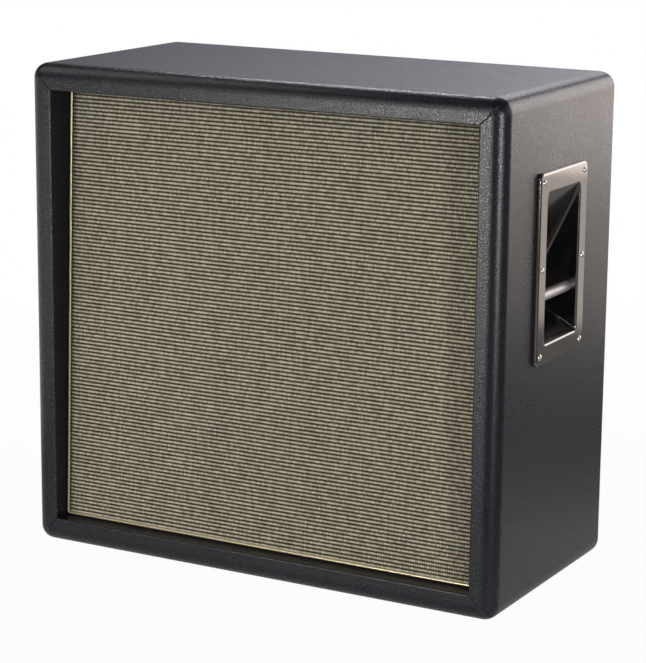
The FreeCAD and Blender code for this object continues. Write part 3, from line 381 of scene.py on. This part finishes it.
def pebbled_vinyl(name, colour):
    """Embossed vinyl: rounded shiny pebbles of about three millimetres with dull creases between them.
    A darker copy at half the colour paints shade in the creases, the mitre seams and the recess.
    """
    finish = bpy.data.materials.new(name)
    tree = empty_tree(finish)
    place = tree.node("ShaderNodeTexCoord", output="Object")
    wander = tree.node(
        "ShaderNodeTexNoise", values={"Vector": place, "Scale": 260.0, "Detail": 2.0}, output="Color",
    )
    shift = tree.node(
        "ShaderNodeVectorMath", {"operation": "MULTIPLY_ADD"},
        {0: wander, 1: (pebble_wander, pebble_wander, pebble_wander), 2: place},
    )
    cells = {"Vector": shift, "Scale": pebbles_per_metre}
    crease = tree.node("ShaderNodeTexVoronoi", {"feature": "DISTANCE_TO_EDGE"}, cells)
    shade = tree.node("ShaderNodeTexVoronoi", {"feature": "F1"}, cells)
    own_tone = tree.node("ShaderNodeSeparateXYZ", values={
        0: tree.node("ShaderNodeTexVoronoi", {"feature": "F1"}, cells, "Color"),
    })
    fine = tree.node("ShaderNodeTexNoise", values={"Vector": place, "Scale": 1500.0, "Detail": 3.0})
    broad = tree.node("ShaderNodeTexNoise", values={"Vector": place, "Scale": 9.0, "Detail": 4.0})
    pebble = tree.node("ShaderNodeMath", {"operation": "SMOOTH_MIN"}, {0: crease, 1: 0.22, 2: 0.2})
    height = pebble + (1 - shade) * 0.18 + fine * 0.05
    bump = tree.node("ShaderNodeBump", values={"Height": height, "Strength": 0.35, "Distance": 0.0010})
    cut = tree.node("ShaderNodeAttribute", {"attribute_name": "seam"}, output="Fac")
    turned = tree.node("ShaderNodeAttribute", {"attribute_name": "turn_in"}, output="Fac")
    # Painted shade: the mitre seams and the turn into the recess lean on the darker copy.
    seam_and_recess_shade = tree.math("MINIMUM", cut * 0.8 + turned * 1.8, 0.8)
    top = tree.node("ShaderNodeMapRange", values={0: crease, 1: 0.02, 2: 0.20, 3: 0.0, 4: 1.0})
    shiny = top * (0.60 + own_tone * 0.40) * (1 - seam_and_recess_shade)
    shine = tree.node("ShaderNodeBsdfPrincipled", values={
        "Base Color": colour,
        "Roughness": 0.24 + broad * 0.07,
        "Specular IOR Level": 0.62,
        "Normal": bump,
    })
    # Painted shade: a copy of the vinyl at half its colour, for the creases, seams and recess.
    shaded_crease_copy = tree.node("ShaderNodeBsdfPrincipled", values={
        "Base Color": tuple(0.5 * part for part in colour),
        "Roughness": 0.32 + broad * 0.07 + turned * 0.8,
        "Specular IOR Level": 0.30,
        "Normal": bump,
    })
    tree.node("ShaderNodeOutputMaterial", values={
        "Surface": tree.node("ShaderNodeMixShader", values={0: shiny, 1: shaded_crease_copy, 2: shine}),
    })
    return finish


vinyl = pebbled_vinyl("vinyl", (0.0068, 0.0072, 0.0130))
covering = make_covering()
skin = covering.modifiers.new("thickness", "SOLIDIFY")
skin.thickness = cover_thickness
skin.offset = -1.0
weights = covering.modifiers.new("flat_faces", "WEIGHTED_NORMAL")
weights.keep_sharp = True
covering.data.materials.append(vinyl)
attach(covering, "cabinet")
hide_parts("shell_covering")

# The grille cloth: one piece of ribbed woven cloth, pulled tight over the grille's timber frame, turned
# round its edges and stapled behind. Fat pale weft makes the ribs, and dark warp shows between them,
# painted darker still as the shade in the gaps.
rib_pitch = 0.00574
rib_height = 0.0006
cloth_thickness = 0.0004
cloth_side = 0.0165
cloth_fold = 0.024
rib_wander = 0.0005
edge_round = 0.0012
bead_pitch = 0.0036
column_count = 64
rib_steps = (0.0, 0.07, 0.2, 0.35, 0.5, 0.65, 0.8, 0.93)

cloth_low, cloth_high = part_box("grille_cloth")
cloth_half_width = cloth_high.x
cloth_half_height = (cloth_high.z - body_middle.z) / math.cos(lean)
cloth_middle = Vector((0.0, body_low.y + (recess_top + recess_bottom) / 2, body_middle.z))
cloth_up = Vector((0.0, math.sin(lean), math.cos(lean)))
cloth_out = Vector((0.0, -math.cos(lean), math.sin(lean)))


def cloth_stations(inner, half):
    """Places across the cloth with its two turned edges: distance, then depth behind the front."""
    turned = [(half - cloth_fold, cloth_side), (half, cloth_side), (half, edge_round)]
    stations = [(-at, depth) for at, depth in turned]
    stations += [(at, 0.0) for at in inner]
    stations += [(at, depth) for at, depth in reversed(turned)]
    return stations


def make_cloth():
    columns = [cloth_half_width * (2 * i / column_count - 1) for i in range(1, column_count)]
    rib_count = round(2 * cloth_half_height / rib_pitch)
    pitch = 2 * cloth_half_height / rib_count
    phases = [rib + step for rib in range(rib_count) for step in rib_steps][1:]
    rows = [phase * pitch - cloth_half_height for phase in phases]
    across_cloth = cloth_stations(columns, cloth_half_width)
    up_cloth = cloth_stations(rows, cloth_half_height)
    turned = 3
    mesh = bmesh.new()
    weave = mesh.loops.layers.uv.new("weave")
    grid, phase_of = [], {}
    for w, depth_w in up_cloth:
        line = []
        for u, depth_u in across_cloth:
            phase = (w + cloth_half_height) / pitch
            hump = abs(math.sin(math.pi * phase)) ** 0.75
            depth = max(depth_u, depth_w, rib_height * (1 - hump))
            ease = (1 - (u / cloth_half_width) ** 2) * (1 - (w / cloth_half_height) ** 2)
            drift = math.sin(9.1 * u + 4.3 * w) + 0.6 * math.sin(23.7 * u - 11.0 * w + 1.3)
            rise = w + rib_wander * drift * ease
            point = mesh.verts.new(cloth_middle + Vector((u, 0, 0)) + cloth_up * rise - cloth_out * depth)
            phase_of[point] = (u, phase)
            line.append(point)
        grid.append(line)
    for j in range(len(grid) - 1):
        for i in range(len(grid[0]) - 1):
            row_turned = j < turned or j >= len(grid) - 1 - turned
            column_turned = i < turned or i >= len(grid[0]) - 1 - turned
            if row_turned and column_turned:
                continue
            face = mesh.faces.new((grid[j][i], grid[j][i + 1], grid[j + 1][i + 1], grid[j + 1][i]))
            face.smooth = True
            for loop in face.loops:
                loop[weave].uv = phase_of[loop.vert]
    bmesh.ops.delete(mesh, geom=[v for v in mesh.verts if not v.link_faces], context="VERTS")
    return new_piece("grille_weave", mesh)


def ribbed_cloth():
    """Ribs of pale thread beads over dark gaps, with uneven stitches, upright threads and dye.
    Painted shade rounds each bead and darkens the gaps.
    """
    finish = bpy.data.materials.new("grille_fabric")
    tree = empty_tree(finish)
    at = tree.node("ShaderNodeUVMap", {"uv_map": "weave"})
    u = tree.node("ShaderNodeSeparateXYZ", values={0: at}, output="X")
    v = tree.node("ShaderNodeSeparateXYZ", values={0: at}, output="Y")
    place = tree.node("ShaderNodeCombineXYZ", values={"X": u, "Y": v * rib_pitch})
    wobble = tree.node("ShaderNodeTexNoise", values={"Vector": place, "Scale": 420.0, "Detail": 2.0})
    phase = tree.math("FRACT", v + (wobble - 0.5) * 0.16)
    rib = 0.5 - 0.5 * tree.math("COSINE", phase * (2 * math.pi))
    strand = u / bead_pitch + (wobble - 0.5) * 0.5
    thread = tree.math("FLOOR", strand)
    row = tree.math("FLOOR", v)
    upright = tree.node("ShaderNodeTexWhiteNoise", {"noise_dimensions": "1D"}, {"W": thread})
    stitch = tree.node("ShaderNodeTexWhiteNoise", {"noise_dimensions": "2D"}, {
        "Vector": tree.node("ShaderNodeCombineXYZ", values={"X": thread, "Y": row}),
    })
    long_place = tree.node("ShaderNodeCombineXYZ", values={"X": u, "Y": v * 0.0006})
    streak = tree.node("ShaderNodeTexNoise", values={"Vector": long_place, "Scale": 130.0, "Detail": 3.0})
    dye = tree.node("ShaderNodeTexNoise", values={"Vector": place, "Scale": 14.0, "Detail": 3.0})
    bead = tree.math("SINE", tree.math("FRACT", strand) * math.pi)
    pale = rib + bead * 0.12 + (stitch - 0.5) * 0.17 + (upright - 0.5) * 0.08 + (streak - 0.5) * 0.06
    # Painted shade: each pale bead is lighter at its middle and darker towards its ends; the stitch noise
    # adds a random tone.
    tone = 0.50 + bead * bead * (0.50 + stitch * 0.55)
    mask = eased(pale, 0.26, 1.02, 0.0, 1.0)
    tint = tree.node("ShaderNodeMix", {"data_type": "RGBA"}, {
        0: dye, 6: (0.415, 0.372, 0.268), 7: (0.392, 0.366, 0.284),
    }, 2)
    beaded = tree.node("ShaderNodeVectorMath", {"operation": "SCALE"}, {0: tint, "Scale": tone})
    # Painted shade: the dark warp in the gaps is darkest where the beads crest.
    shadowed = tree.node("ShaderNodeVectorMath", {"operation": "SCALE"}, {
        0: (0.034, 0.028, 0.014), "Scale": 0.3 + (1 - bead) * 1.7 + stitch * 0.3,
    })
    colour = tree.node("ShaderNodeMix", {"data_type": "RGBA"}, {0: mask, 6: shadowed, 7: beaded}, 2)
    height = rib + stitch * 0.2 + bead * 0.35
    bump = tree.node("ShaderNodeBump", values={"Height": height, "Strength": 0.5, "Distance": 0.0004})
    shader = tree.node("ShaderNodeBsdfPrincipled", values={
        "Base Color": colour,
        "Roughness": 0.9 - mask * 0.18,
        "Specular IOR Level": 0.25,
        "Normal": bump,
    })
    tree.node("ShaderNodeOutputMaterial", values={"Surface": shader})
    return finish


cloth = make_cloth()
cloth.data.materials.append(ribbed_cloth())
body_of_cloth = cloth.modifiers.new("thickness", "SOLIDIFY")
body_of_cloth.thickness = cloth_thickness
body_of_cloth.offset = 1.0
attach(cloth, "cabinet")
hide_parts("grille_cloth")

# The piping: a gold-coloured vinyl bead with a flat tape, tacked round the edge of the covered grille
# frame so that the bead fills the gap to the recess wall.


def dress(finish, *names):
    """Give CAD nodes a finish."""
    for name in names:
        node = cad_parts[name]
        node.data.materials.clear()
        node.data.materials.append(finish)


def plain_finish(
    name, colour, rough, metal=0.0, grain=900.0, mottle=0.15, relief=0.00004,
    stretch=(1, 1, 1), index=1.5, gloss_tint=(1.0, 1.0, 1.0),
):
    """A finish with fine grain: its tone, gloss and surface vary a little, along a stretched noise."""
    finish = bpy.data.materials.new(name)
    tree = empty_tree(finish)
    place = tree.node("ShaderNodeMapping", values={
        "Vector": tree.node("ShaderNodeTexCoord", output="Object"), "Scale": tuple(stretch),
    })
    fine = tree.node("ShaderNodeTexNoise", values={"Vector": place, "Scale": grain, "Detail": 4.0})
    broad = tree.node("ShaderNodeTexNoise", values={"Vector": place, "Scale": grain / 25, "Detail": 3.0})
    tone = 1 + (fine - 0.5) * mottle + (broad - 0.5) * mottle
    shade = tree.node("ShaderNodeVectorMath", {"operation": "SCALE"}, {0: colour, "Scale": tone})
    bump = tree.node("ShaderNodeBump", values={"Height": fine, "Strength": 0.6, "Distance": relief})
    shader = tree.node("ShaderNodeBsdfPrincipled", values={
        "Base Color": shade,
        "Roughness": rough * (0.85 + 0.3 * broad),
        "Metallic": metal,
        "IOR": index,
        "Specular Tint": gloss_tint,
        "Normal": bump,
    })
    tree.node("ShaderNodeOutputMaterial", values={"Surface": shader})
    return finish


dress(plain_finish("piping", (0.52, 0.44, 0.28), 0.30, metal=0.75, grain=2200.0), "grille_piping")

# The side handles: black moulded cups with a flange plate, six screws each, and a steel bar riveted
# across the cup to carry the cabinet by.
dress(
    plain_finish(
        "handle_plastic", (0.005, 0.005, 0.006), 0.13, grain=1400.0, relief=0.00001,
        index=2.5, gloss_tint=(1.0, 0.92, 0.87),
    ),
    "left_handle_dish", "right_handle_dish",
)
dress(
    plain_finish("bar_steel", (0.52, 0.48, 0.475), 0.55, metal=0.9, stretch=(1, 0.05, 1)),
    "left_handle_bar", "right_handle_bar",
)
dress(
    plain_finish("nickel", (0.70, 0.66, 0.58), 0.28, metal=1.0),
    "handle_screws", "back_cup_washers", "jack_washer", "jack_nut",
)

# The feet: four moulded rubber feet, each held by a sunk screw.
dress(plain_finish("foot_rubber", (0.016, 0.016, 0.017), 0.72, grain=700.0, relief=0.0001), "rubber_feet")
dress(
    plain_finish("zinc", (0.58, 0.59, 0.60), 0.38, metal=1.0, grain=600.0),
    "foot_screws", "baffle_screws", "grille_screws", "back_panel_screws",
    "driver_top_plates", "driver_pole_yokes", "driver_bolts", "driver_tee_nuts",
)

# The back: a plywood board in the same vinyl, let into the rear of the carcass and held on its battens
# by screws in cup washers.
dress(vinyl, "back_covering")

# The jack dish: a moulded cup sunk in the back panel, with four black screws and the input jack.
dress(
    plain_finish("dish_plastic", (0.018, 0.018, 0.019), 0.38, grain=1100.0, relief=0.00005),
    "jack_dish", "jack_socket", "driver_terminals", "lead_clips",
)
dress(plain_finish("black_screw", (0.03, 0.03, 0.032), 0.4, metal=0.6), "jack_dish_screws")

# The carcass: birch plywood panels with finger joints, softwood rails, brace, battens and grille frame.
dress(
    plain_finish("plywood", (0.55, 0.40, 0.24), 0.6, grain=160.0, mottle=0.4, stretch=(1, 1, 9)),
    "top_panel", "bottom_panel", "left_side_panel", "right_side_panel", "baffle_board", "back_panel",
)
dress(
    plain_finish("timber", (0.60, 0.43, 0.25), 0.62, grain=120.0, mottle=0.45, stretch=(1, 1, 12)),
    "front_rails", "centre_brace", "grille_frame", "back_battens",
)

# The drivers: pressed and enamelled baskets, doped paper cones with dust caps, ferrite magnets between
# steel plates, and a copper coil on each cone's neck.
places = ("upper_left", "upper_right", "lower_left", "lower_right")
dress(
    plain_finish("basket_enamel", (0.03, 0.032, 0.036), 0.35, grain=500.0),
    *(f"{place}_basket" for place in places),
)
cone_paper = plain_finish(
    "cone_paper", (0.045, 0.042, 0.038), 0.85, grain=800.0, mottle=0.5, relief=0.0002,
)
dress(cone_paper, *(f"{place}_{piece}" for place in places for piece in ("cone", "dust_cap")))
dress(
    plain_finish("coil_copper", (0.75, 0.36, 0.18), 0.3, metal=1.0, stretch=(1, 30, 1)),
    *(f"{place}_voice_coil" for place in places),
)
dress(plain_finish("gasket_paper", (0.20, 0.17, 0.14), 0.85, grain=900.0), "driver_gaskets")
dress(plain_finish("magnet_ferrite", (0.05, 0.05, 0.052), 0.6, grain=400.0), "driver_magnets")

# The suspension: a doped paper edge glued round each cone and a stiffened cloth ring, the spider,
# glued round its coil. Both are pressed into waves and held at the rim.
ring_steps = 72
wave_steps = 8
coil_depth = 0.0753
winding_step = 0.0006
edge_rim_radius = 0.145
edge_outer, edge_inner = (0.1385, 0.003), (0.1243, 0.007)
edge_wave_count = 2
edge_wave_height = 0.0009
edge_sheet = 0.0008
spider_rim_radius = 0.069
spider_outer, spider_inner = (0.058, 0.0634), (0.0229, 0.0694)
spider_wave_count = 4
spider_wave_height = 0.0012
spider_sheet = 0.0006


def on_driver_axis(place, depth):
    """The point on a driver's axis at a depth behind its gasket's face."""
    low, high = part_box(f"{place}_voice_coil")
    coil_middle = (low + high) / 2 + Vector((0.0, 0.0, winding_step / 2))
    return coil_middle - cloth_out * (depth - coil_depth)


def make_ring(name, place, rim_radius, outer, inner, wave_count, wave_height, sheet):
    """A pressed ring: a flat rim, then waves from an outer to an inner pair of radius and depth."""
    steps = wave_count * wave_steps
    front = [(rim_radius, outer[1])]
    for index in range(steps + 1):
        share = index / steps
        radius, depth = (a + share * (b - a) for a, b in zip(outer, inner))
        front.append((radius, depth + wave_height * math.sin(2 * math.pi * wave_count * share)))
    outline = front + [(radius, depth + sheet) for radius, depth in reversed(front)]
    centres = [on_driver_axis(place, depth) for _, depth in outline]
    mesh = bmesh.new()
    spokes = []
    for step in range(ring_steps):
        angle = 2 * math.pi * step / ring_steps
        aside = Vector((math.cos(angle), 0.0, 0.0)) + cloth_up * math.sin(angle)
        spokes.append([
            mesh.verts.new(centre + aside * radius) for centre, (radius, _) in zip(centres, outline)
        ])
    for spoke, following in zip(spokes, spokes[1:] + spokes[:1]):
        for i in range(len(outline)):
            mesh.faces.new((spoke[i - 1], spoke[i], following[i], following[i - 1])).smooth = True
    bmesh.ops.recalc_face_normals(mesh, faces=mesh.faces)
    ring = new_piece(name, mesh)
    on_driver_axis(place, outer[1] + sheet)
    on_driver_axis(place, inner[1])
    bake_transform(ring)
    return ring


spider_cloth = plain_finish("spider_cloth", (0.50, 0.33, 0.12), 0.8, grain=1500.0, relief=0.0002)
for place in places:
    paper_edge = make_ring(
        f"{place}_paper_edge", place, edge_rim_radius, edge_outer, edge_inner,
        edge_wave_count, edge_wave_height, edge_sheet,
    )
    paper_edge.data.materials.append(cone_paper)
    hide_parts(f"{place}_cone_edge")
    spider = make_ring(
        f"{place}_spider", place, spider_rim_radius, spider_outer, spider_inner,
        spider_wave_count, spider_wave_height, spider_sheet,
    )
    spider.data.materials.append(spider_cloth)
    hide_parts("driver_spiders")

# The leads: black twin wire from the jack to each driver, held by clips on the brace.
dress(plain_finish("lead_sleeve", (0.02, 0.02, 0.021), 0.5, grain=1200.0), "speaker_leads")
